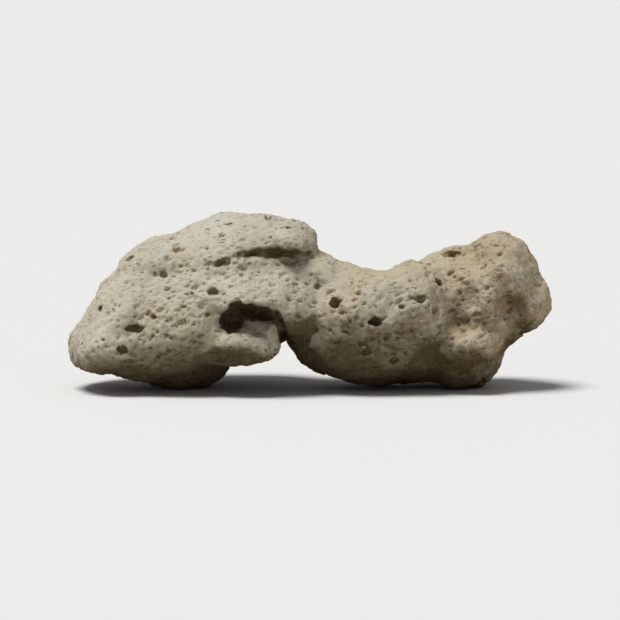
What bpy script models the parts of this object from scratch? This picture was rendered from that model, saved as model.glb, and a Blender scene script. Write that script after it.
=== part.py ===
"""Pumice stone: one water-worn pebble of volcanic foam, 32 mm long.

Two rounded lobes are joined by a saddle. The left lobe carries an overhanging crust with a crevice
under it, and a large gas hollow opens beside the saddle. The right lobe is a barrel that ends in a
scooped face and a knob. The stone grew as one piece, so it is one solid.

It lies on its worn undersides, with +X along its length, +Z up and its front towards -Y. Its origin is
at the middle of its footprint. The shape is worked out in millimetres and scaled to metres at the end.
"""

import math
import random

import bmesh
import bpy
from mathutils import Euler, Matrix, Vector
from mathutils.bvhtree import BVHTree

# ---- driving dimensions, in millimetres and degrees
LENGTH = 32.4  # end to end, as it lies
BLANK_VOXEL = 0.30  # grain of the fused blank
CUTTER_VOXEL = 0.10  # grain of the joined cutters
FINE_VOXEL = 0.17  # grain once the hollows are cut
BLANK_SMOOTHING = 6  # rounds of smoothing of the blank
FINE_SMOOTHING = 4  # rounds of smoothing of the hollowed stone
LOBE_FINENESS = 4  # subdivisions of each lobe's ball
CUTTER_FINENESS = 3  # the same of each cutter's
SWELLS = (3.2, 0.9)  # how far apart the skin's broad swells are, and how high
LUMPS = (1.1, 0.3)  # the same of its small lumps
WALL_LUMPS = (0.9, 0.45)  # the same of the lumps on the hollows' walls
REST_TURN = -0.9  # how far the stone turns about Y to come down on both feet
WORN_DEPTH = 0.40  # how much wear took off the undersides that it rests on
TRIANGLES = 9400
SEED = 7
METRE = 0.001  # metres in a millimetre
COLOUR = (0.46, 0.41, 0.32)

# Each lobe is an ellipsoid: its centre, its radii, and its turn about X, Y and Z.
LOBES = {
    "left_body": ((-8.9, 0.3, 5.6), (6.3, 6.6, 3.95), (14, -24, 0)),
    "left_tip": ((-12.8, -0.5, 3.8), (3.4, 5.1, 2.3), (0, -22, 0)),
    "left_shoulder": ((-12.2, 0.0, 5.2), (4.5, 5.4, 2.35), (0, -48, 0)),
    "left_foot": ((-8.6, 1.1, 2.2), (3.6, 4.2, 2.0), (0, 0, 0)),
    "left_back": ((-6.0, 3.2, 5.4), (6.0, 4.6, 3.9), (0, 0, 12)),
    "crust": ((-5.5, 0.8, 8.75), (5.6, 5.2, 2.9), (0, -12, 0)),
    "crust_shoulder": ((-9.5, 0.7, 8.7), (3.5, 4.2, 1.9), (0, -16, 0)),
    "crust_back": ((-6.4, 3.6, 7.6), (5.6, 3.6, 3.4), (0, -14, 10)),
    "crust_end": ((-1.2, 0.0, 10.2), (2.1, 4.0, 1.2), (0, 16, 0)),
    "shelf": ((-3.6, -1.6, 6.6), (5.2, 4.8, 2.6), (8, 6, 0)),
    "shelf_end": ((0.5, 0.2, 8.0), (2.6, 3.8, 1.4), (0, 22, 0)),
    "lip": ((-4.8, -3.7, 3.6), (3.0, 2.7, 1.6), (0, -2, -8)),
    "saddle": ((1.4, 0.9, 6.1), (5.6, 4.6, 2.5), (0, 8, 0)),
    "barrel": ((3.9, -0.6, 4.3), (5.6, 5.3, 3.7), (-26, 2, -4)),
    "barrel_end": ((6.9, -0.6, 5.0), (3.0, 5.0, 3.5), (-20, 0, 0)),
    "right_keel": ((7.4, 1.0, 2.6), (4.4, 4.2, 2.3), (0, 0, 0)),
    "right_foot": ((9.9, 0.9, 2.9), (3.0, 4.4, 3.1), (0, -34, 0)),
    "right_belly": ((11.9, 0.7, 4.6), (2.6, 3.8, 2.4), (0, -20, 0)),
    "scoop_lip": ((10.4, -1.5, 3.2), (2.6, 3.1, 1.6), (0, -6, 0)),
    "right_body": ((11.2, 1.0, 5.9), (3.6, 4.9, 3.3), (0, -20, 0)),
    "right_top": ((9.8, 1.2, 7.6), (3.0, 3.4, 1.7), (0, -10, 0)),
    "knob": ((13.1, 0.6, 7.25), (2.2, 3.9, 3.3), (0, -22, 0)),
    "knob_low": ((14.0, 0.4, 5.8), (2.2, 2.9, 2.1), (0, 0, 0)),
}

# Soft dishes, taken out of the lobes before the skin is smoothed and roughened.
DISHES = {
    "scoop": ((10.5, -5.5, 7.0), (1.7, 2.4, 2.6), (20, 8, 0)),
    "crease": ((9.3, -6.4, 5.8), (0.36, 2.7, 2.2), (0, 6, 24)),
    "lip_undercut": ((-4.9, -7.6, 2.2), (3.2, 3.6, 1.5), (0, 6, 0)),
    "knob_recess": ((13.8, -5.1, 5.6), (1.8, 3.0, 1.25), (0, -8, 0)),
    "back_vesicle": ((5.4, 5.2, 5.2), (1.7, 1.8, 1.1), (0, -14, 0)),
    "back_channel": ((-8.4, 7.7, 4.6), (2.8, 1.5, 0.6), (0, 16, 8)),
    "back_cup": ((-1.2, 6.3, 7.0), (0.9, 1.5, 1.2), (0, 0, 0)),
    "right_end_cup": ((16.4, 1.6, 7.2), (1.3, 1.0, 0.8), (0, 0, 0)),
    "left_end_cup": ((-15.8, 2.4, 4.6), (1.2, 1.1, 0.6), (0, 0, 0)),
}

# Hollows with a crisp rim, taken out of the finished skin.
HOLLOWS = {
    "vesicle": ((-5.1, -5.3, 5.3), (0.85, 1.8, 0.85), (0, 14, 0)),
    "vesicle_roof": ((-3.6, -5.2, 5.95), (1.9, 1.8, 0.6), (0, 16, 0)),
    "vesicle_mouth": ((-3.6, -6.8, 5.35), (2.3, 2.1, 1.2), (0, 8, 0)),
    "slot": ((-1.8, -4.6, 4.3), (0.32, 3.2, 1.9), (0, -8, 0)),
    "arch": ((-1.75, 0.0, -0.2), (1.3, 12.0, 3.4), (0, 0, 0)),
    "crevice": ((-1.6, -4.8, 9.5), (2.6, 2.2, 0.5), (0, 4, 0)),
    "crevice_left": ((-3.7, -5.2, 9.6), (1.5, 2.4, 0.32), (0, -4, 0)),
    "crevice_end": ((-5.7, -5.6, 9.1), (1.2, 2.0, 0.26), (0, -20, 0)),
    "crevice_tail": ((0.2, -3.8, 9.35), (1.0, 2.0, 0.26), (0, 14, 0)),
}

# Pits that open on the front, by the place of the mouth (x, z): half width, half height and depth.
FRONT_PITS = {
    (-12.4, 3.5): (0.40, 0.32, 0.7),
    (-11.6, 4.9): (0.65, 0.28, 0.5),
    (-13.9, 6.1): (0.32, 0.26, 0.4),
    (-6.4, 7.3): (0.45, 0.28, 0.5),
    (-9.6, 8.3): (0.30, 0.24, 0.4),
    (-10.3, 5.7): (0.24, 0.20, 0.4),
    (-5.3, 11.4): (0.28, 0.22, 0.4),
    (-2.6, 11.7): (0.34, 0.26, 0.5),
    (1.7, 6.4): (0.42, 0.36, 1.2),
    (4.4, 5.1): (0.55, 0.30, 1.3),
    (-0.2, 4.0): (0.34, 0.32, 0.7),
    (3.5, 7.0): (0.34, 0.16, 0.3),
    (7.4, 6.6): (0.75, 0.18, 0.3),
    (8.7, 7.5): (0.40, 0.36, 0.7),
    (9.6, 9.1): (0.90, 0.45, 0.4),
    (3.7, 3.0): (0.36, 0.30, 0.5),
    (5.5, 2.3): (0.30, 0.26, 0.5),
    (-0.8, 7.6): (0.40, 0.18, 0.3),
}

# Pits that are strewn over the rest: how many are tried, the range of their half widths, and the line
# through the stone's heart from which each one's direction is counted.
OTHER_PITS = 150
PIT_SIZES = (0.22, 0.5)
PIT_FLATNESS = (0.6, 1.0)  # range of a pit's height in its width
PIT_DEPTHS = (1.0, 2.0)  # range of its depth in its height
OUTSIDE = 20.0  # a distance from the line that is clear of the stone
HALF_REACH = 15.6
HEART_HEIGHT = 4.5
FRONT = -0.35  # the skin faces front where its normal's Y is under this


def clear_scene():
    for obj in list(bpy.data.objects):
        bpy.data.objects.remove(obj)


def add_ellipsoid(shape, centre, radii, rotation, fineness):
    """Adds an ellipsoid to the bmesh, as a unit sphere that is stretched, turned and moved."""
    place = Matrix.LocRotScale(Vector(centre), rotation, Vector(radii))
    bmesh.ops.create_icosphere(shape, subdivisions=fineness, radius=1.0, matrix=place)


def turned(angles):
    return Euler([math.radians(angle) for angle in angles])


def new_object(name, shape, collection):
    """Makes the bmesh an object of its own."""
    mesh = bpy.data.meshes.new(name)
    shape.to_mesh(mesh)
    shape.free()
    obj = bpy.data.objects.new(name, mesh)
    collection.objects.link(obj)
    return obj


def modify(obj, kind, **settings):
    """Adds a modifier and applies it."""
    modifier = obj.modifiers.new(kind.title(), kind)
    for name, value in settings.items():
        setattr(modifier, name, value)
    graph = bpy.context.evaluated_depsgraph_get()
    worked = bpy.data.meshes.new_from_object(obj.evaluated_get(graph))
    obj.modifiers.clear()
    obj.data = worked


def roughen(obj, name, grain, height):
    """Pushes the surface in and out by a cloudy pattern with lumps of this grain."""
    clouds = bpy.data.textures.new(name, "CLOUDS")
    clouds.noise_scale = grain
    clouds.noise_depth = 2
    modify(obj, "DISPLACE", texture=clouds, strength=height, mid_level=0.5)


def ellipsoids(name, table, fineness, collection):
    """An object made of the table's ellipsoids."""
    shape = bmesh.new()
    for centre, radii, turn in table.values():
        add_ellipsoid(shape, centre, radii, turned(turn), fineness)
    return new_object(name, shape, collection)


def fuse(obj, voxel):
    """Grows whatever overlaps in the object into one closed skin."""
    modify(obj, "REMESH", mode="VOXEL", voxel_size=voxel)


def take_out(stone, name, table, collection):
    """Cuts the table's ellipsoids out of the stone, joined first into one shape with uneven walls."""
    cutter = ellipsoids(name, table, CUTTER_FINENESS, collection)
    fuse(cutter, CUTTER_VOXEL)
    roughen(cutter, name, *WALL_LUMPS)
    fuse(cutter, CUTTER_VOXEL)
    cut(stone, cutter)


def fused_blank(collection, cutters):
    """The lobes grown together, dished, smoothed and roughened."""
    stone = ellipsoids("pumice_stone", LOBES, LOBE_FINENESS, collection)
    fuse(stone, BLANK_VOXEL)
    take_out(stone, "dish_cutter", DISHES, cutters)
    fuse(stone, BLANK_VOXEL)
    modify(stone, "SMOOTH", factor=0.5, iterations=BLANK_SMOOTHING)
    roughen(stone, "swells", *SWELLS)
    roughen(stone, "lumps", *LUMPS)
    return stone


def pit_cutter(stone, collection):
    """Small gas pits: those of the front at their own places, and others strewn over the skin."""
    skin = BVHTree.FromObject(stone, bpy.context.evaluated_depsgraph_get())
    shape = bmesh.new()
    for (x, z), (wide, high, deep) in FRONT_PITS.items():
        mouth, normal, _, _ = skin.ray_cast(Vector((x, -OUTSIDE, z)), Vector((0, 1, 0)))
        add_pit(shape, mouth, normal, (wide, high, deep))
    chance = random.Random(SEED)
    for _ in range(OTHER_PITS):
        heart = Vector((chance.uniform(-HALF_REACH, HALF_REACH), 0.0, HEART_HEIGHT))
        angle = chance.uniform(0.0, 2 * math.pi)
        outward = Vector((0.0, math.cos(angle), math.sin(angle)))
        wide = chance.triangular(*PIT_SIZES, PIT_SIZES[0])
        high = wide * chance.uniform(*PIT_FLATNESS)
        deep = high * chance.uniform(*PIT_DEPTHS)
        mouth, normal, _, _ = skin.ray_cast(heart + OUTSIDE * outward, -outward)
        if mouth and normal.y > FRONT:
            add_pit(shape, mouth, normal, (wide, high, deep))
    cutter = new_object("pit_cutter", shape, collection)
    fuse(cutter, CUTTER_VOXEL)
    return cutter


def add_pit(shape, mouth, normal, radii):
    """An ellipsoid sunk in the skin, with its depth along the skin's normal."""
    sideways = normal.to_track_quat("Y", "Z")
    wide, high, deep = radii
    add_ellipsoid(shape, mouth, (wide, deep, high), sideways, CUTTER_FINENESS)


def cut(stone, cutter):
    modify(stone, "BOOLEAN", operation="DIFFERENCE", solver="EXACT", object=cutter)
    cutter.hide_render = True
    cutter.display_type = "WIRE"


def wear_flat(stone, collection):
    """Turns the stone down on to its feet and takes their undersides off flat, as wear does."""
    stone.data.transform(Matrix.Rotation(math.radians(REST_TURN), 4, "Y"))
    low, high = box(stone)
    shape = bmesh.new()
    size = 2 * (high - low)
    place = Matrix.LocRotScale((low + high) / 2, None, size)
    place.translation.z = low.z + WORN_DEPTH - size.z / 2
    bmesh.ops.create_cube(shape, size=1.0, matrix=place)
    cut(stone, new_object("ground_cutter", shape, collection))


def box(stone):
    """The lowest and highest corners of the mesh."""
    places = [vertex.co for vertex in stone.data.vertices]
    low = Vector([min(place[axis] for place in places) for axis in range(3)])
    high = Vector([max(place[axis] for place in places) for axis in range(3)])
    return low, high


def set_down(stone):
    """Brings the stone to its length in metres, with its origin at the middle of its footprint."""
    low, high = box(stone)
    middle = (low + high) / 2
    stone.data.transform(Matrix.Translation((-middle.x, -middle.y, -low.z)))
    stone.data.transform(Matrix.Scale(METRE * LENGTH / (high.x - low.x), 4))


def pumice():
    """Chalky, cream-grey volcanic glass foam."""
    material = bpy.data.materials.new("pumice")
    material.diffuse_color = (*COLOUR, 1.0)
    material.use_nodes = True
    shader = material.node_tree.nodes["Principled BSDF"]
    shader.inputs["Base Color"].default_value = (*COLOUR, 1.0)
    shader.inputs["Roughness"].default_value = 0.95
    shader.inputs["Metallic"].default_value = 0.0
    return material


def main():
    clear_scene()
    parts = bpy.data.collections.new("pumice_stone")
    cutters = bpy.data.collections.new("cutters")
    for collection in (parts, cutters):
        bpy.context.scene.collection.children.link(collection)
    stone = fused_blank(parts, cutters)
    take_out(stone, "hollow_cutter", HOLLOWS, cutters)
    fuse(stone, FINE_VOXEL)
    modify(stone, "SMOOTH", factor=0.5, iterations=FINE_SMOOTHING)
    cut(stone, pit_cutter(stone, cutters))
    fuse(stone, FINE_VOXEL)
    share = TRIANGLES / (2 * len(stone.data.polygons))
    modify(stone, "DECIMATE", decimate_type="COLLAPSE", ratio=share)
    wear_flat(stone, cutters)
    set_down(stone)
    stone.data.materials.append(pumice())


main()
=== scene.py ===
"""Pumice stone: a water-worn pebble of volcanic froth, 32 mm long, on a pale floor.

The pebble is grown in millimetres from rounded lobes, hollowed, pitted and worn. It is then set down, in
metres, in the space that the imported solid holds. X runs along the pebble, and -Y is its front.
"""

import math
import random

import bpy
import numpy as np
from mathutils import Matrix, Vector, noise
from mathutils.bvhtree import BVHTree
from mathutils.kdtree import KDTree


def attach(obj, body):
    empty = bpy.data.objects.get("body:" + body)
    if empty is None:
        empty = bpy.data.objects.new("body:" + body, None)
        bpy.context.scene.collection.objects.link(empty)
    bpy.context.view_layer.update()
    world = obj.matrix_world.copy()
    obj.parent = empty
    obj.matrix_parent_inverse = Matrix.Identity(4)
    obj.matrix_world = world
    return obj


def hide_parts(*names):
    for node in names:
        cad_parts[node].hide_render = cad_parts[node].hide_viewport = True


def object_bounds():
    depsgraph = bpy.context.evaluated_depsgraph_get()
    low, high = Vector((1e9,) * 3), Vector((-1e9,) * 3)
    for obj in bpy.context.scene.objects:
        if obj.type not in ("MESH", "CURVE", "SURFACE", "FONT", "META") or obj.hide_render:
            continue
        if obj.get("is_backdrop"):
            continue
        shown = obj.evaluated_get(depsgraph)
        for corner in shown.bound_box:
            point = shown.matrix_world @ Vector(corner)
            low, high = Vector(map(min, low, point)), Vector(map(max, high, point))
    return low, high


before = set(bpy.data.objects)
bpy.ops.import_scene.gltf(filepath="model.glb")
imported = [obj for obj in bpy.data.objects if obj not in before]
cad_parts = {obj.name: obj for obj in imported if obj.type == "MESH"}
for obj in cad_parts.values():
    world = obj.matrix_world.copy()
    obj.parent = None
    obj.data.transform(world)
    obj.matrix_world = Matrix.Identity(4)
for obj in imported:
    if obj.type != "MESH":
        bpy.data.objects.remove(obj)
cad_low, cad_high = (Vector(corner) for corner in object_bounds())

# ---- The body of the pebble
# Pumice is lava that froze as froth. This piece froze as two lobes with a saddle between them, and
# water has rounded it since. The body is grown from overlapping lobes, and soft dishes are worn in it.
LOBES = {  # centre, radii, turn in degrees
    "left_body": ((-8.9, 0.3, 5.6), (6.3, 6.6, 3.95), (14, -24, 0)),
    "left_tip": ((-12.8, -0.5, 3.8), (3.4, 5.1, 2.3), (0, -22, 0)),
    "left_shoulder": ((-12.2, 0.0, 5.2), (4.5, 5.4, 2.35), (0, -48, 0)),
    "left_foot": ((-8.6, 1.1, 2.2), (3.6, 4.2, 2.0), (0, 0, 0)),
    "left_back": ((-6.0, 3.2, 5.4), (6.0, 4.6, 3.9), (0, 0, 12)),
    "crust": ((-5.5, 0.8, 8.75), (5.6, 5.2, 2.9), (0, -12, 0)),
    "crust_shoulder": ((-9.5, 0.7, 8.7), (3.5, 4.2, 1.9), (0, -16, 0)),
    "crust_back": ((-6.4, 3.6, 7.6), (5.6, 3.6, 3.4), (0, -14, 10)),
    "crust_end": ((-1.2, 0.0, 10.2), (2.1, 4.0, 1.2), (0, 16, 0)),
    "shelf": ((-3.6, -1.6, 6.6), (5.2, 4.8, 2.6), (8, 6, 0)),
    "shelf_end": ((0.5, 0.2, 8.0), (2.6, 3.8, 1.4), (0, 22, 0)),
    "lip": ((-4.8, -3.7, 3.6), (3.0, 2.7, 1.6), (0, -2, -8)),
    "saddle": ((1.4, 0.9, 6.1), (5.6, 4.6, 2.5), (0, 8, 0)),
    "barrel": ((3.9, -0.6, 4.3), (5.6, 5.3, 3.7), (-26, 2, -4)),
    "barrel_end": ((6.9, -0.6, 5.0), (3.0, 5.0, 3.5), (-20, 0, 0)),
    "right_keel": ((7.4, 1.0, 2.6), (4.4, 4.2, 2.3), (0, 0, 0)),
    "right_foot": ((9.9, 0.9, 2.9), (3.0, 4.4, 3.1), (0, -34, 0)),
    "right_belly": ((11.9, 0.7, 4.6), (2.6, 3.8, 2.4), (0, -20, 0)),
    "scoop_lip": ((10.4, -1.5, 3.2), (2.6, 3.1, 1.6), (0, -6, 0)),
    "right_body": ((11.2, 1.0, 5.9), (3.6, 4.9, 3.3), (0, -20, 0)),
    "right_top": ((9.8, 1.2, 7.6), (3.0, 3.4, 1.7), (0, -10, 0)),
    "knob": ((13.1, 0.6, 7.25), (2.2, 3.9, 3.3), (0, -22, 0)),
    "knob_low": ((14.0, 0.4, 5.8), (2.2, 2.9, 2.1), (0, 0, 0)),
}
DISHES = {  # the same
    "scoop": ((10.5, -5.5, 7.0), (1.7, 2.4, 2.6), (20, 8, 0)),
    "crease": ((9.3, -6.4, 5.8), (0.36, 2.7, 2.2), (0, 6, 24)),
    "lip_undercut": ((-4.9, -7.6, 2.2), (3.2, 3.6, 1.5), (0, 6, 0)),
    "knob_recess": ((13.8, -5.1, 5.6), (1.8, 3.0, 1.25), (0, -8, 0)),
    "back_vesicle": ((5.4, 5.2, 5.2), (1.7, 1.8, 1.1), (0, -14, 0)),
    "back_channel": ((-8.4, 7.7, 4.6), (2.8, 1.5, 0.6), (0, 16, 8)),
    "back_cup": ((-1.2, 6.3, 7.0), (0.9, 1.5, 1.2), (0, 0, 0)),
    "right_end_cup": ((16.4, 1.6, 7.2), (1.3, 1.0, 0.8), (0, 0, 0)),
    "left_end_cup": ((-15.8, 2.4, 4.6), (1.2, 1.1, 0.6), (0, 0, 0)),
}
BODY_GRAIN = 0.15
CUTTER_GRAIN = 0.08
BODY_SMOOTHING = 24
SWELLS = (3.2, 0.9)  # how far apart the skin's broad swells are, and how high
LUMPS = (1.1, 0.3)  # the same of its small lumps
WALL_LUMPS = (0.9, 0.45)  # the same of the lumps on the walls of what is taken out


def blob(centre, radii, turn, fineness=4):
    """One rounded shape of the stone, or of a hollow in it."""
    angles = [math.radians(angle) for angle in turn]
    bpy.ops.mesh.primitive_ico_sphere_add(
        subdivisions=fineness, radius=1.0, location=centre, rotation=angles, scale=radii
    )
    return bpy.context.object


def gather(name, pieces):
    """Joins the pieces in one object with its place in its mesh."""
    bpy.ops.object.select_all(action="DESELECT")
    for piece in pieces:
        piece.select_set(True)
    bpy.context.view_layer.objects.active = pieces[0]
    bpy.ops.object.join()
    whole = bpy.context.object
    bpy.ops.object.transform_apply(location=True, rotation=True, scale=True)
    whole.name = name
    return whole


def work(piece, kind, **settings):
    """Adds a modifier to the piece and applies it."""
    bpy.ops.object.select_all(action="DESELECT")
    piece.select_set(True)
    bpy.context.view_layer.objects.active = piece
    bpy.ops.object.modifier_add(type=kind)
    modifier = piece.modifiers[-1]
    for name, value in settings.items():
        setattr(modifier, name, value)
    bpy.ops.object.modifier_apply(modifier=modifier.name)


def fuse(piece, grain):
    """Makes one closed skin of all that overlaps in the piece."""
    work(piece, "REMESH", mode="VOXEL", voxel_size=grain)


def smooth(piece, rounds):
    work(piece, "SMOOTH", factor=0.5, iterations=rounds)


def roughen(piece, name, spacing, height, layers=2):
    """Pushes the skin in and out, by lumps this far apart with finer ones on them."""
    pattern = bpy.data.textures.new(name, "CLOUDS")
    pattern.noise_scale = spacing
    pattern.noise_depth = layers
    work(piece, "DISPLACE", texture=pattern, strength=height, mid_level=0.5)


def hollow_out(stone, cutter, wall_lumps=WALL_LUMPS):
    """Takes the cutter's shape out of the stone, with uneven walls."""
    fuse(cutter, CUTTER_GRAIN)
    roughen(cutter, "uneven_walls", *wall_lumps)
    work(stone, "BOOLEAN", operation="DIFFERENCE", solver="MANIFOLD", object=cutter)
    bpy.data.objects.remove(cutter)


bpy.ops.object.select_all(action="DESELECT")
stone = gather("pumice_pebble", [blob(*lobe) for lobe in LOBES.values()])
fuse(stone, BODY_GRAIN)
hollow_out(stone, gather("dishes", [blob(*dish) for dish in DISHES.values()]))
fuse(stone, BODY_GRAIN)
smooth(stone, BODY_SMOOTHING)
roughen(stone, "swells", *SWELLS)
roughen(stone, "lumps", *LUMPS)

# ---- The hollows
# Gas hollows broke open where the froth was coarsest: a large vesicle with a mound of froth left in its
# mouth, the slot and the arch beside it, and the crevice under the crust. Water has softened their rims.
HOLLOWS = {  # centre, radii, turn in degrees
    "vesicle": ((-5.1, -5.3, 5.3), (0.85, 1.8, 0.85), (0, 14, 0)),
    "vesicle_roof": ((-3.6, -5.2, 5.95), (1.9, 1.8, 0.6), (0, 16, 0)),
    "vesicle_mouth": ((-3.6, -6.8, 5.35), (2.3, 2.1, 1.2), (0, 8, 0)),
    "slot": ((-1.8, -4.6, 4.3), (0.32, 3.2, 1.9), (0, -8, 0)),
    "arch": ((-1.75, 0.0, -0.2), (1.3, 12.0, 3.4), (0, 0, 0)),
    "crevice": ((-1.6, -4.8, 9.5), (2.6, 2.2, 0.5), (0, 4, 0)),
    "crevice_left": ((-3.7, -5.2, 9.6), (1.5, 2.4, 0.32), (0, -4, 0)),
    "crevice_end": ((-5.7, -5.6, 9.1), (1.2, 2.0, 0.26), (0, -20, 0)),
    "crevice_tail": ((0.2, -3.8, 9.35), (1.0, 2.0, 0.26), (0, 14, 0)),
}
HOLLOW_GRAIN = 0.10
HOLLOW_SMOOTHING = 12

hollow_out(stone, gather("hollows", [blob(*hollow) for hollow in HOLLOWS.values()]))
fuse(stone, HOLLOW_GRAIN)
smooth(stone, HOLLOW_SMOOTHING)

# ---- Gas pits
# Bubbles from half a millimetre to nearly two millimetres wide, cut open at the skin. Those of the
# front have their own places, and the others are strewn by a seed over the rest of the skin.
FRONT_PITS = {  # mouth (x, z): half width, half height, depth
    (-12.4, 3.5): (0.40, 0.32, 0.7),
    (-11.6, 4.9): (0.65, 0.28, 0.5),
    (-13.9, 6.1): (0.32, 0.26, 0.4),
    (-6.4, 7.3): (0.45, 0.28, 0.5),
    (-9.6, 8.3): (0.30, 0.24, 0.4),
    (-10.3, 5.7): (0.24, 0.20, 0.4),
    (-5.3, 11.4): (0.28, 0.22, 0.4),
    (-2.6, 11.7): (0.34, 0.26, 0.5),
    (1.7, 6.4): (0.42, 0.36, 1.2),
    (4.4, 5.1): (0.55, 0.30, 1.3),
    (-0.2, 4.0): (0.34, 0.32, 0.7),
    (3.5, 7.0): (0.34, 0.16, 0.3),
    (7.4, 6.6): (0.75, 0.18, 0.3),
    (8.7, 7.5): (0.40, 0.36, 0.7),
    (9.6, 9.1): (0.90, 0.45, 0.4),
    (3.7, 3.0): (0.36, 0.30, 0.5),
    (5.5, 2.3): (0.30, 0.26, 0.5),
    (-0.8, 7.6): (0.40, 0.18, 0.3),
}
OTHER_PITS = 150
HALF_WIDTHS = (0.22, 0.5)
HIGH_TO_WIDE = (0.6, 1.0)
DEEP_TO_HIGH = (1.0, 2.0)
PIT_WALL_LUMPS = (0.4, 0.30)
PIT_FINENESS = 3
CHANCE_SEED = 7
HALF_REACH = 15.6
HEART_HEIGHT = 4.5
OUTSIDE = 20  # further out from the stone's heart than its skin
FRONT = -0.35  # the skin faces front where its normal's Y is under this
SKIN_GRAIN = 0.075


def rays(chance, count):
    """Starts and directions of rays that come in to the stone's heart from all round."""
    for _ in range(count):
        heart = Vector((chance.uniform(-HALF_REACH, HALF_REACH), 0.0, HEART_HEIGHT))
        angle = chance.uniform(0.0, 2 * math.pi)
        outward = Vector((0.0, math.cos(angle), math.sin(angle)))
        yield heart + OUTSIDE * outward, -outward


def pit(mouth, normal, wide, high, deep):
    """A bubble that opens at the mouth."""
    bubble = blob((0, 0, 0), (wide, deep, high), (0, 0, 0), PIT_FINENESS)
    turn = normal.to_track_quat("Y", "Z").to_matrix().to_4x4()
    bubble.matrix_world = Matrix.Translation(mouth) @ turn @ bubble.matrix_world
    return bubble


skin = BVHTree.FromObject(stone, bpy.context.evaluated_depsgraph_get())
bubbles = []
for (x, z), sizes in FRONT_PITS.items():
    mouth, normal, _, _ = skin.ray_cast(Vector((x, -OUTSIDE, z)), Vector((0, 1, 0)))
    bubbles.append(pit(mouth, normal, *sizes))
chance = random.Random(CHANCE_SEED)
for start, inward in rays(chance, OTHER_PITS):
    wide = chance.triangular(*HALF_WIDTHS, HALF_WIDTHS[0])
    high = wide * chance.uniform(*HIGH_TO_WIDE)
    deep = high * chance.uniform(*DEEP_TO_HIGH)
    mouth, normal, _, _ = skin.ray_cast(start, inward)
    if mouth and normal.y > FRONT:
        bubbles.append(pit(mouth, normal, wide, high, deep))
bpy.context.view_layer.update()
hollow_out(stone, gather("bubbles", bubbles), PIT_WALL_LUMPS)
fuse(stone, SKIN_GRAIN)

# ---- Vesicles
# The froth itself: thousands of small bubbles, drawn out along the flow, that the worn skin cuts open.
# They are sunk in the skin point by point, wider and closer together where the froth was coarse, and
# the glass between them has broken to crumb and grit.
VESICLES = 6800
FLOW = Vector((1.0, 0.25, 0.12)).normalized()
COARSE_PATCH = 3.5  # how far apart the patches of coarse froth are
FINE_SHARE = 0.25  # the share of the vesicles that is kept in the finest froth
COARSE_GAIN = 1.5  # how much that share grows towards the coarsest
SMALL_HALF = 0.075
LARGE_HALF = 0.20
HALF_WIDTH_FALL = 3.4  # how fast wide vesicles get rarer: higher is faster
WIDENING = (0.8, 0.5)  # the width in the finest froth, and what the coarsest adds to it
STRETCH = (1.0, 2.1)
DEEP_TO_HALF = (0.6, 1.4)
FLOW_SWAY = 0.5
RAGGED = 0.28  # how far a mouth strays from an oval
MOUTH_REACH = 1.3  # no mouth reaches further than this times its oval
RAG_SIZE = 0.9  # how far apart its rags are, in half widths
RAG_OFFSETS = 40  # how far apart vesicles read the noise, so that no two are alike
BOWL = 0.7  # how a vesicle's floor rises to its rim: lower is steeper
CRUMBS = (0.42, 0.20, 3)  # how far apart they are, how high, and in how many layers
GRIT = (0.16, 0.09)
NOISE_SEED = 11


def sink_vesicles(stone, count, chance):
    """Moves the skin's points in, inside the mouth of each vesicle."""
    mesh = stone.data
    points = np.empty(len(mesh.vertices) * 3, np.float32)
    mesh.vertices.foreach_get("co", points)
    points = points.reshape(-1, 3)
    normals = np.array([corner.vector for corner in mesh.vertex_normals], np.float32)
    tree = KDTree(len(points))
    for index, point in enumerate(points):
        tree.insert(point, index)
    tree.balance()
    depths = np.zeros(len(points), np.float32)
    for _ in range(count):
        seat = chance.randrange(len(points))
        centre, normal = Vector(points[seat]), Vector(normals[seat])
        coarse = 0.5 + 0.5 * noise.noise(centre / COARSE_PATCH)
        if chance.random() > FINE_SHARE + COARSE_GAIN * coarse ** 2:
            continue
        widening = WIDENING[0] + WIDENING[1] * coarse
        half = min(SMALL_HALF * chance.paretovariate(HALF_WIDTH_FALL) * widening, LARGE_HALF)
        along = (FLOW - normal * FLOW.dot(normal)).normalized()
        along = (along + FLOW_SWAY * noise.random_unit_vector().cross(normal)).normalized()
        across = normal.cross(along)
        stretch = chance.uniform(*STRETCH)
        depth = half * chance.uniform(*DEEP_TO_HALF)
        offset = Vector((chance.random(), chance.random(), chance.random())) * RAG_OFFSETS
        for point, index, _ in tree.find_range(centre, half * stretch * MOUTH_REACH):
            away = point - centre
            reach = math.hypot(away.dot(along) / (half * stretch), away.dot(across) / half)
            reach += RAGGED * noise.noise(point / (RAG_SIZE * half) + offset)
            if reach < 1.0:
                depths[index] = max(depths[index], depth * (1.0 - reach * reach) ** BOWL)
    points -= normals * depths[:, None]
    mesh.vertices.foreach_set("co", points.ravel())
    mesh.update()


noise.seed_set(NOISE_SEED)
sink_vesicles(stone, VESICLES, chance)
roughen(stone, "crumbs", *CRUMBS)
roughen(stone, "grit", *GRIT)

# ---- Wear, and the sky that each point sees
# The stone lies on two feet, and both are worn flat. Before it is set down in the solid's place, each
# point is given how open it lies to rubbing, and how much of the sky it sees. The finish reads these for
# rubbed flecks and for painted shade and light.
MOST_TRIANGLES = 194000
OPEN_REACH = 1.3  # stone within this distance of a point shelters it from rubbing, and brings painted shade into pits
SKY_AND_OPEN_RAYS = 14
RAY_CLEARANCE = 0.03
SPREADING = 40  # rounds in which the sky share spreads, each as far as the next points, softening the painted shade
REST_TURN = -0.9  # how the stone tips to lie on both feet, in degrees about Y
WORN_DEPTH = 0.40

triangles = 2 * len(stone.data.polygons)
work(stone, "DECIMATE", decimate_type="COLLAPSE", ratio=MOST_TRIANGLES / triangles)


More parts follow.
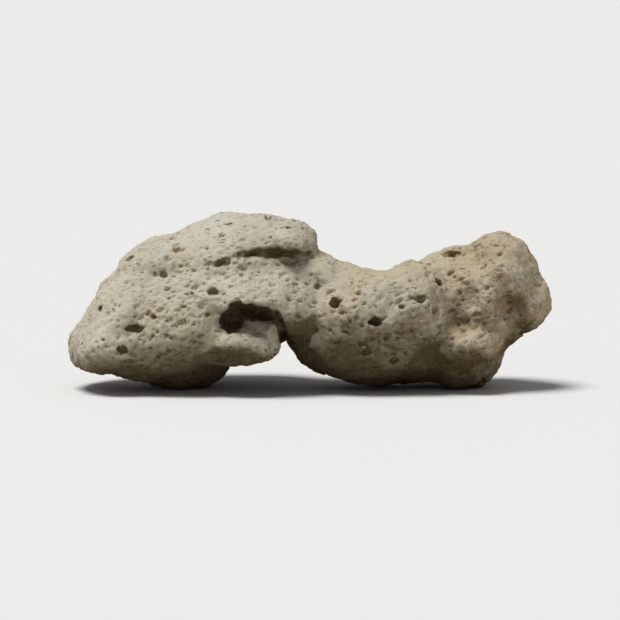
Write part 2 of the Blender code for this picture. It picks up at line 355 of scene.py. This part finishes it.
def keep_on_points(stone, name, values):
    """Stores a number at each point of the skin, for the finish to read."""
    stone.data.attributes.new(name, "FLOAT", "POINT").data.foreach_set("value", values)


def fan(count):
    """Directions spread over the half round +Z, closer together near +Z."""
    golden = math.pi * (3 - math.sqrt(5))
    for index in range(count):
        spread = math.sqrt((index + 0.5) / count)
        rise = math.sqrt(1 - spread * spread)
        yield Vector((spread * math.cos(golden * index), spread * math.sin(golden * index), rise))


def openness_and_sky(stone):
    """How free each point is of stone nearby, and how much of the sky it sees, both up to 1."""
    tree = BVHTree.FromObject(stone, bpy.context.evaluated_depsgraph_get())
    rays = list(fan(SKY_AND_OPEN_RAYS))
    open_shares, sky_shares = [], []
    for vertex in stone.data.vertices:
        turn = vertex.normal.to_track_quat("Z", "Y").to_matrix()
        start = vertex.co + RAY_CLEARANCE * vertex.normal
        stopped = sum(tree.ray_cast(start, turn @ ray, OPEN_REACH)[0] is not None for ray in rays)
        open_shares.append(1 - stopped / SKY_AND_OPEN_RAYS)
        sky = 0.0
        for ray in rays:
            lean = vertex.normal.dot(ray)
            if lean > 0 and tree.ray_cast(start, ray)[0] is None:
                sky += lean / ray.z
        sky_shares.append(sky / SKY_AND_OPEN_RAYS)
    return open_shares, sky_shares


def spread(stone, values, rounds):
    """Half of each value stays where it is, and half spreads in the skin, which softens the painted
    shade's edge.
    """
    ends = np.empty(2 * len(stone.data.edges), int)
    stone.data.edges.foreach_get("vertices", ends)
    first, second = ends.reshape(-1, 2).T
    still = values = np.array(values)
    size = len(values)
    for _ in range(rounds):
        total = np.bincount(first, values[second], size) + np.bincount(second, values[first], size)
        values = (values + total / np.bincount(ends, minlength=size)) / 2
    return (still + values) / 2


open_shares, sky_shares = openness_and_sky(stone)
keep_on_points(stone, "openness", open_shares)
keep_on_points(stone, "sky", spread(stone, sky_shares, SPREADING))

stone.data.transform(Matrix.Rotation(math.radians(REST_TURN), 4, "Y"))
points = np.array([vertex.co for vertex in stone.data.vertices])
low, high = Vector(points.min(axis=0)), Vector(points.max(axis=0))
scale = (cad_high.x - cad_low.x) / (high.x - low.x)
floor_level = low.z + WORN_DEPTH
for vertex in stone.data.vertices:
    if vertex.co.z < floor_level:
        vertex.co.z = floor_level
middle = (low + high) / 2
underside = Vector((middle.x, middle.y, floor_level))
stone.data.transform(Matrix.Scale(scale, 4) @ Matrix.Translation(-underside))
bpy.ops.object.shade_smooth()

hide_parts("pumice_stone")
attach(stone, "root")

# ---- The finish of the skin
# Bare volcanic glass froth, dry and chalky: cream to grey-white where it is rubbed, with tan and rose
# patches, browned by iron at the knob and by painted shade under its brow, and dull brown inside its
# pits, partly dust and partly painted shade. The left half's tops are greyed as painted sky light, and
# painted shade darkens what doesn't see the sky.
CREAM = (0.575, 0.53, 0.415, 1)
TAN = (0.465, 0.395, 0.27, 1)
ROSE = (0.42, 0.32, 0.25, 1)
# iron stain, also used for painted shade at the knob end
IRON_AND_SHADE = (0.36, 0.255, 0.135, 1)
# dull brown, partly dust and partly painted shade inside pits
PIT_DUST_AND_SHADE = (0.35, 0.245, 0.115, 1)
SHADE_TONE = (0.16, 0.122, 0.064, 1)  # painted shade: the share of the colour under it that the full shade leaves
GRAIN_DARK = (0.10, 0.08, 0.055, 1)
CHALK = (0.66, 0.63, 0.55, 1)
# painted sky light on the tops of the left half
SKY_LIT_GREY = (0.53, 0.51, 0.44, 1)

# How far apart the patches and grains of each pattern are, in metres.
BROAD_PATCHES = 0.0052
ROSE_PATCHES = 0.0031
# the uneven edge of the painted shade where the sky isn't seen
SHADE_EDGE_PATCHES = 0.0024
RUST_PATCHES = 0.0018
SPARSE_PATCHES = 0.0017
MOTTLES = 0.0011
SPECKS = 0.00042
TINY_BUBBLES = 0.00030
FLECKS = 0.00028
POWDER = 0.00012

# Where along the stone each of these begins and where it is full, in metres.
PAST_TIP = (-0.0135, -0.0080)
RIGHT_HALF = (-0.006, 0.004)
BARREL = (-0.002, 0.003)
KNOB_SIDE = (0.0075, 0.0125)
KNOB_END = (0.0105, 0.0130)

# How the flow turned and drew out the patterns that follow it, and how it swayed.
FLOW_TURN = (0, 0.12, 0.25)
FLOW_DRAW = (0.55, 1, 1)
SWAYS_A_METRE = 3000.0
SWAY = 0.00022

GLASS_IOR = 1.45
SHEEN = 0.25
ROUGHNESS = 0.86
RELIEF = 0.00012  # how high the finest bumps stand, in metres


class Reading:
    """A value that the finish reads at each point of the skin. Arithmetic on it adds Math nodes."""

    tree = None

    def __init__(self, socket):
        self.socket = socket

    @classmethod
    def of(cls, kind, settings, sockets, output=0):
        """Adds a node, sets it, feeds its sockets, and gives one of its outputs."""
        node = cls.tree.nodes.new(kind)
        for name, value in settings.items():
            setattr(node, name, value)
        for key, value in sockets.items():
            if isinstance(value, cls):
                cls.tree.links.new(value.socket, node.inputs[key])
            else:
                node.inputs[key].default_value = value
        return cls(node.outputs[output])

    def math(self, operation, *terms):
        return self.of("ShaderNodeMath", {"operation": operation}, dict(enumerate(terms)))

    def __add__(self, other):
        return self.math("ADD", self, other)

    def __sub__(self, other):
        return self.math("SUBTRACT", self, other)

    def __rsub__(self, other):
        return self.math("SUBTRACT", other, self)

    def __mul__(self, other):
        return self.math("MULTIPLY", self, other)

    __radd__ = __add__
    __rmul__ = __mul__

    def rise(self, start, end):
        """0 up to start and 1 from end on, with a smooth rise between them."""
        limits = {"Value": self, "From Min": start, "From Max": end}
        return self.of("ShaderNodeMapRange", {"interpolation_type": "SMOOTHSTEP"}, limits)


def tint(first, second, share, blend="MIX"):
    """The first colour turning to the second, or to both multiplied, as the share goes from 0 to 1."""
    settings = {"data_type": "RGBA", "blend_type": blend}
    return Reading.of("ShaderNodeMix", settings, {0: share, 6: first, 7: second}, 2)


def clouds(place, size, detail=3.0, roughness=0.55):
    """Cloudy noise round 0.5 with patches of this size in metres."""
    sockets = {"Vector": place, "Scale": 1 / size, "Detail": detail, "Roughness": roughness}
    return Reading.of("ShaderNodeTexNoise", {}, sockets)


def bubbles_at(place, size, smallest, largest):
    """1 in the middle of each tiny bubble, and 0 between them."""
    sockets = {"Vector": place, "Scale": 1 / size, "Randomness": 1.0}
    distance = Reading.of("ShaderNodeTexVoronoi", {}, sockets, "Distance")
    return 1 - distance.rise(smallest, largest)


finish = bpy.data.materials.new("pumice")
finish.use_nodes = True
Reading.tree = finish.node_tree
shader = finish.node_tree.nodes["Principled BSDF"]
shader.inputs["IOR"].default_value = GLASS_IOR
shader.inputs["Specular IOR Level"].default_value = SHEEN

place = Reading.of("ShaderNodeTexCoord", {}, {}, "Object")
x_place = Reading.of("ShaderNodeSeparateXYZ", {}, {0: place}, "X")
sway_sockets = {"Vector": place, "Scale": SWAYS_A_METRE, "Detail": 2.0}
sway = Reading.of("ShaderNodeTexNoise", {}, sway_sockets, "Color")
sway = Reading.of("ShaderNodeVectorMath", {"operation": "SCALE"}, {0: sway, "Scale": SWAY})
swayed = Reading.of("ShaderNodeVectorMath", {"operation": "ADD"}, {0: place, 1: sway})
flow_sockets = {"Vector": swayed, "Rotation": FLOW_TURN, "Scale": FLOW_DRAW}
drawn = Reading.of("ShaderNodeMapping", {}, flow_sockets)
open_share = Reading.of("ShaderNodeAttribute", {"attribute_name": "openness"}, {}, "Fac")
sky_share = Reading.of("ShaderNodeAttribute", {"attribute_name": "sky"}, {}, "Fac")

patches = clouds(place, BROAD_PATCHES)
mottle = clouds(place, MOTTLES, 4.0, 0.6)
flecks = clouds(place, FLECKS, 3.0, 0.6)
sparse = clouds(place, SPARSE_PATCHES, 2.0).rise(0.40, 0.62)
tiny_bubbles = bubbles_at(drawn, TINY_BUBBLES, 0.14, 0.34)

# In each layer, rise() says at what values of its pattern it begins and is full, and the number that
# multiplies it says how much it then covers. The froth turns from cream to tan and rose in patches.
colour = tint(CREAM, TAN, patches.rise(0.38, 0.66) * 0.8)
colour = tint(colour, ROSE, clouds(drawn, ROSE_PATCHES, 2.0).rise(0.52, 0.75) * 0.45)

# Iron browns the knob's side and the barrel in streaks. What is hidden from the sky at the knob end,
# under its brow, is browned as painted shade.
knob_end = x_place.rise(*KNOB_END)
iron_and_recess_shade = x_place.rise(*KNOB_SIDE) * (patches * 0.6 + mottle * 0.6).rise(0.36, 0.70)
iron_and_recess_shade = iron_and_recess_shade + x_place.rise(*BARREL) * clouds(drawn, RUST_PATCHES).rise(0.50, 0.70) * 0.65
iron_and_recess_shade = iron_and_recess_shade + knob_end * (1 - sky_share).rise(0.35, 0.65) * 0.9
colour = tint(colour, IRON_AND_SHADE, iron_and_recess_shade.math("MINIMUM", iron_and_recess_shade, 1.0) * 0.85)
colour = tint(colour, TAN, mottle.rise(0.48, 0.70) * 0.60)

# Rubbing leaves chalky flecks. Where the sky is seen, the right half turns tan, and the left half is
# greyed as painted sky light.
right_half = x_place.rise(*RIGHT_HALF)
colour = tint(colour, CHALK, open_share.rise(0.80, 1.0) * flecks.rise(0.45, 0.70) * 0.55)
colour = tint(colour, TAN, right_half * sky_share.rise(0.45, 0.95) * 0.8)
colour = tint(colour, SKY_LIT_GREY, (1 - right_half) * sky_share.rise(0.5, 1.0) * 0.6)

# Dust and painted shade inside pits, where stone nearby closes them in, and in the tiny bubbles;
# then dark mineral grains.
colour = tint(colour, PIT_DUST_AND_SHADE, (1 - open_share).rise(0.20, 0.70) * 0.70)
colour = tint(colour, PIT_DUST_AND_SHADE, tiny_bubbles * sparse * 0.45)
colour = tint(colour, GRAIN_DARK, clouds(place, SPECKS, 1.0).rise(0.70, 0.76) * 0.6)

# Painted shade darkens what the sky doesn't reach, with an uneven edge, and a little less at the knob end
# and the tip. The deepest pits, dark already, take less of it.
tip = 1 - x_place.rise(*PAST_TIP)
seen_light = sky_share + clouds(place, SHADE_EDGE_PATCHES) * 0.30 + mottle * 0.24
seen_light = seen_light - right_half * 0.05 + tip * 0.03 + knob_end * 0.05
painted_shade = 1 - seen_light.rise(0.27, 0.83)
colour = tint(colour, SHADE_TONE, painted_shade * open_share.rise(0.12, 0.50) * 0.95, "MULTIPLY")
Reading.tree.links.new(colour.socket, shader.inputs["Base Color"])

dryness = flecks * 0.12 + ROUGHNESS
Reading.tree.links.new(dryness.socket, shader.inputs["Roughness"])
relief = flecks * 0.5 + clouds(place, POWDER, 2.0) * 0.25 - tiny_bubbles * (sparse * 0.8 + 0.2)
bump = Reading.of("ShaderNodeBump", {}, {"Height": relief, "Strength": 0.75, "Distance": RELIEF})
Reading.tree.links.new(bump.socket, shader.inputs["Normal"])
stone.data.materials.clear()
stone.data.materials.append(finish)

# ---- Floor, light and camera
# The pebble lies on a wide, pale, matt floor, under one broad lamp whose shadows have soft edges, with a
# little cool light from all round. The camera stands far off and a little above, with a long lens.
FLOOR_WIDTH = 4.0
FLOOR_COLOUR = (0.80, 0.79, 0.77, 1)
FLOOR_ROUGHNESS = 0.8
ROOM_LIGHT = (0.95, 0.97, 1.0, 1)
ROOM_STRENGTH = 0.22
LAMP_FROM = Vector((-0.28, -0.10, 1.0))  # its light comes from this way
LAMP_STRENGTH = 2.9
LAMP_BREADTH = math.radians(26)
VIEW_WIDTH = 0.0415
VIEW_DISTANCE = 0.6
VIEW_ANGLE = math.radians(6)
VIEW_HEIGHT = 0.0052
SENSOR_WIDTH = 36

bpy.ops.mesh.primitive_plane_add(size=FLOOR_WIDTH, location=(0, 0, 0))
floor = bpy.context.object
floor.name = "floor"
pale = bpy.data.materials.new("pale_floor")
pale.use_nodes = True
pale.node_tree.nodes["Principled BSDF"].inputs["Base Color"].default_value = FLOOR_COLOUR
pale.node_tree.nodes["Principled BSDF"].inputs["Roughness"].default_value = FLOOR_ROUGHNESS
floor.data.materials.append(pale)
floor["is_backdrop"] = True

world = bpy.data.worlds.new("studio")
bpy.context.scene.world = world
world.use_nodes = True
world.node_tree.nodes["Background"].inputs["Color"].default_value = ROOM_LIGHT
world.node_tree.nodes["Background"].inputs["Strength"].default_value = ROOM_STRENGTH
bpy.context.scene.view_settings.view_transform = "Standard"

bpy.ops.object.light_add(type="SUN", location=LAMP_FROM)
lamp = bpy.context.object
lamp.name = "overhead"
lamp.data.energy = LAMP_STRENGTH
lamp.data.angle = LAMP_BREADTH
lamp.rotation_euler = LAMP_FROM.to_track_quat("Z", "Y").to_euler()

back = Vector((0, -math.cos(VIEW_ANGLE), math.sin(VIEW_ANGLE)))
bpy.ops.object.camera_add(location=Vector((0, 0, VIEW_HEIGHT)) + VIEW_DISTANCE * back)
camera = bpy.context.object
camera.rotation_euler = (-back).to_track_quat("-Z", "Y").to_euler()
camera.data.sensor_width = SENSOR_WIDTH
camera.data.lens = SENSOR_WIDTH * VIEW_DISTANCE / VIEW_WIDTH
bpy.context.scene.camera = camera

low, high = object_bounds()
{"cad": [list(cad_low), list(cad_high)], "visual": [list(low), list(high)]}
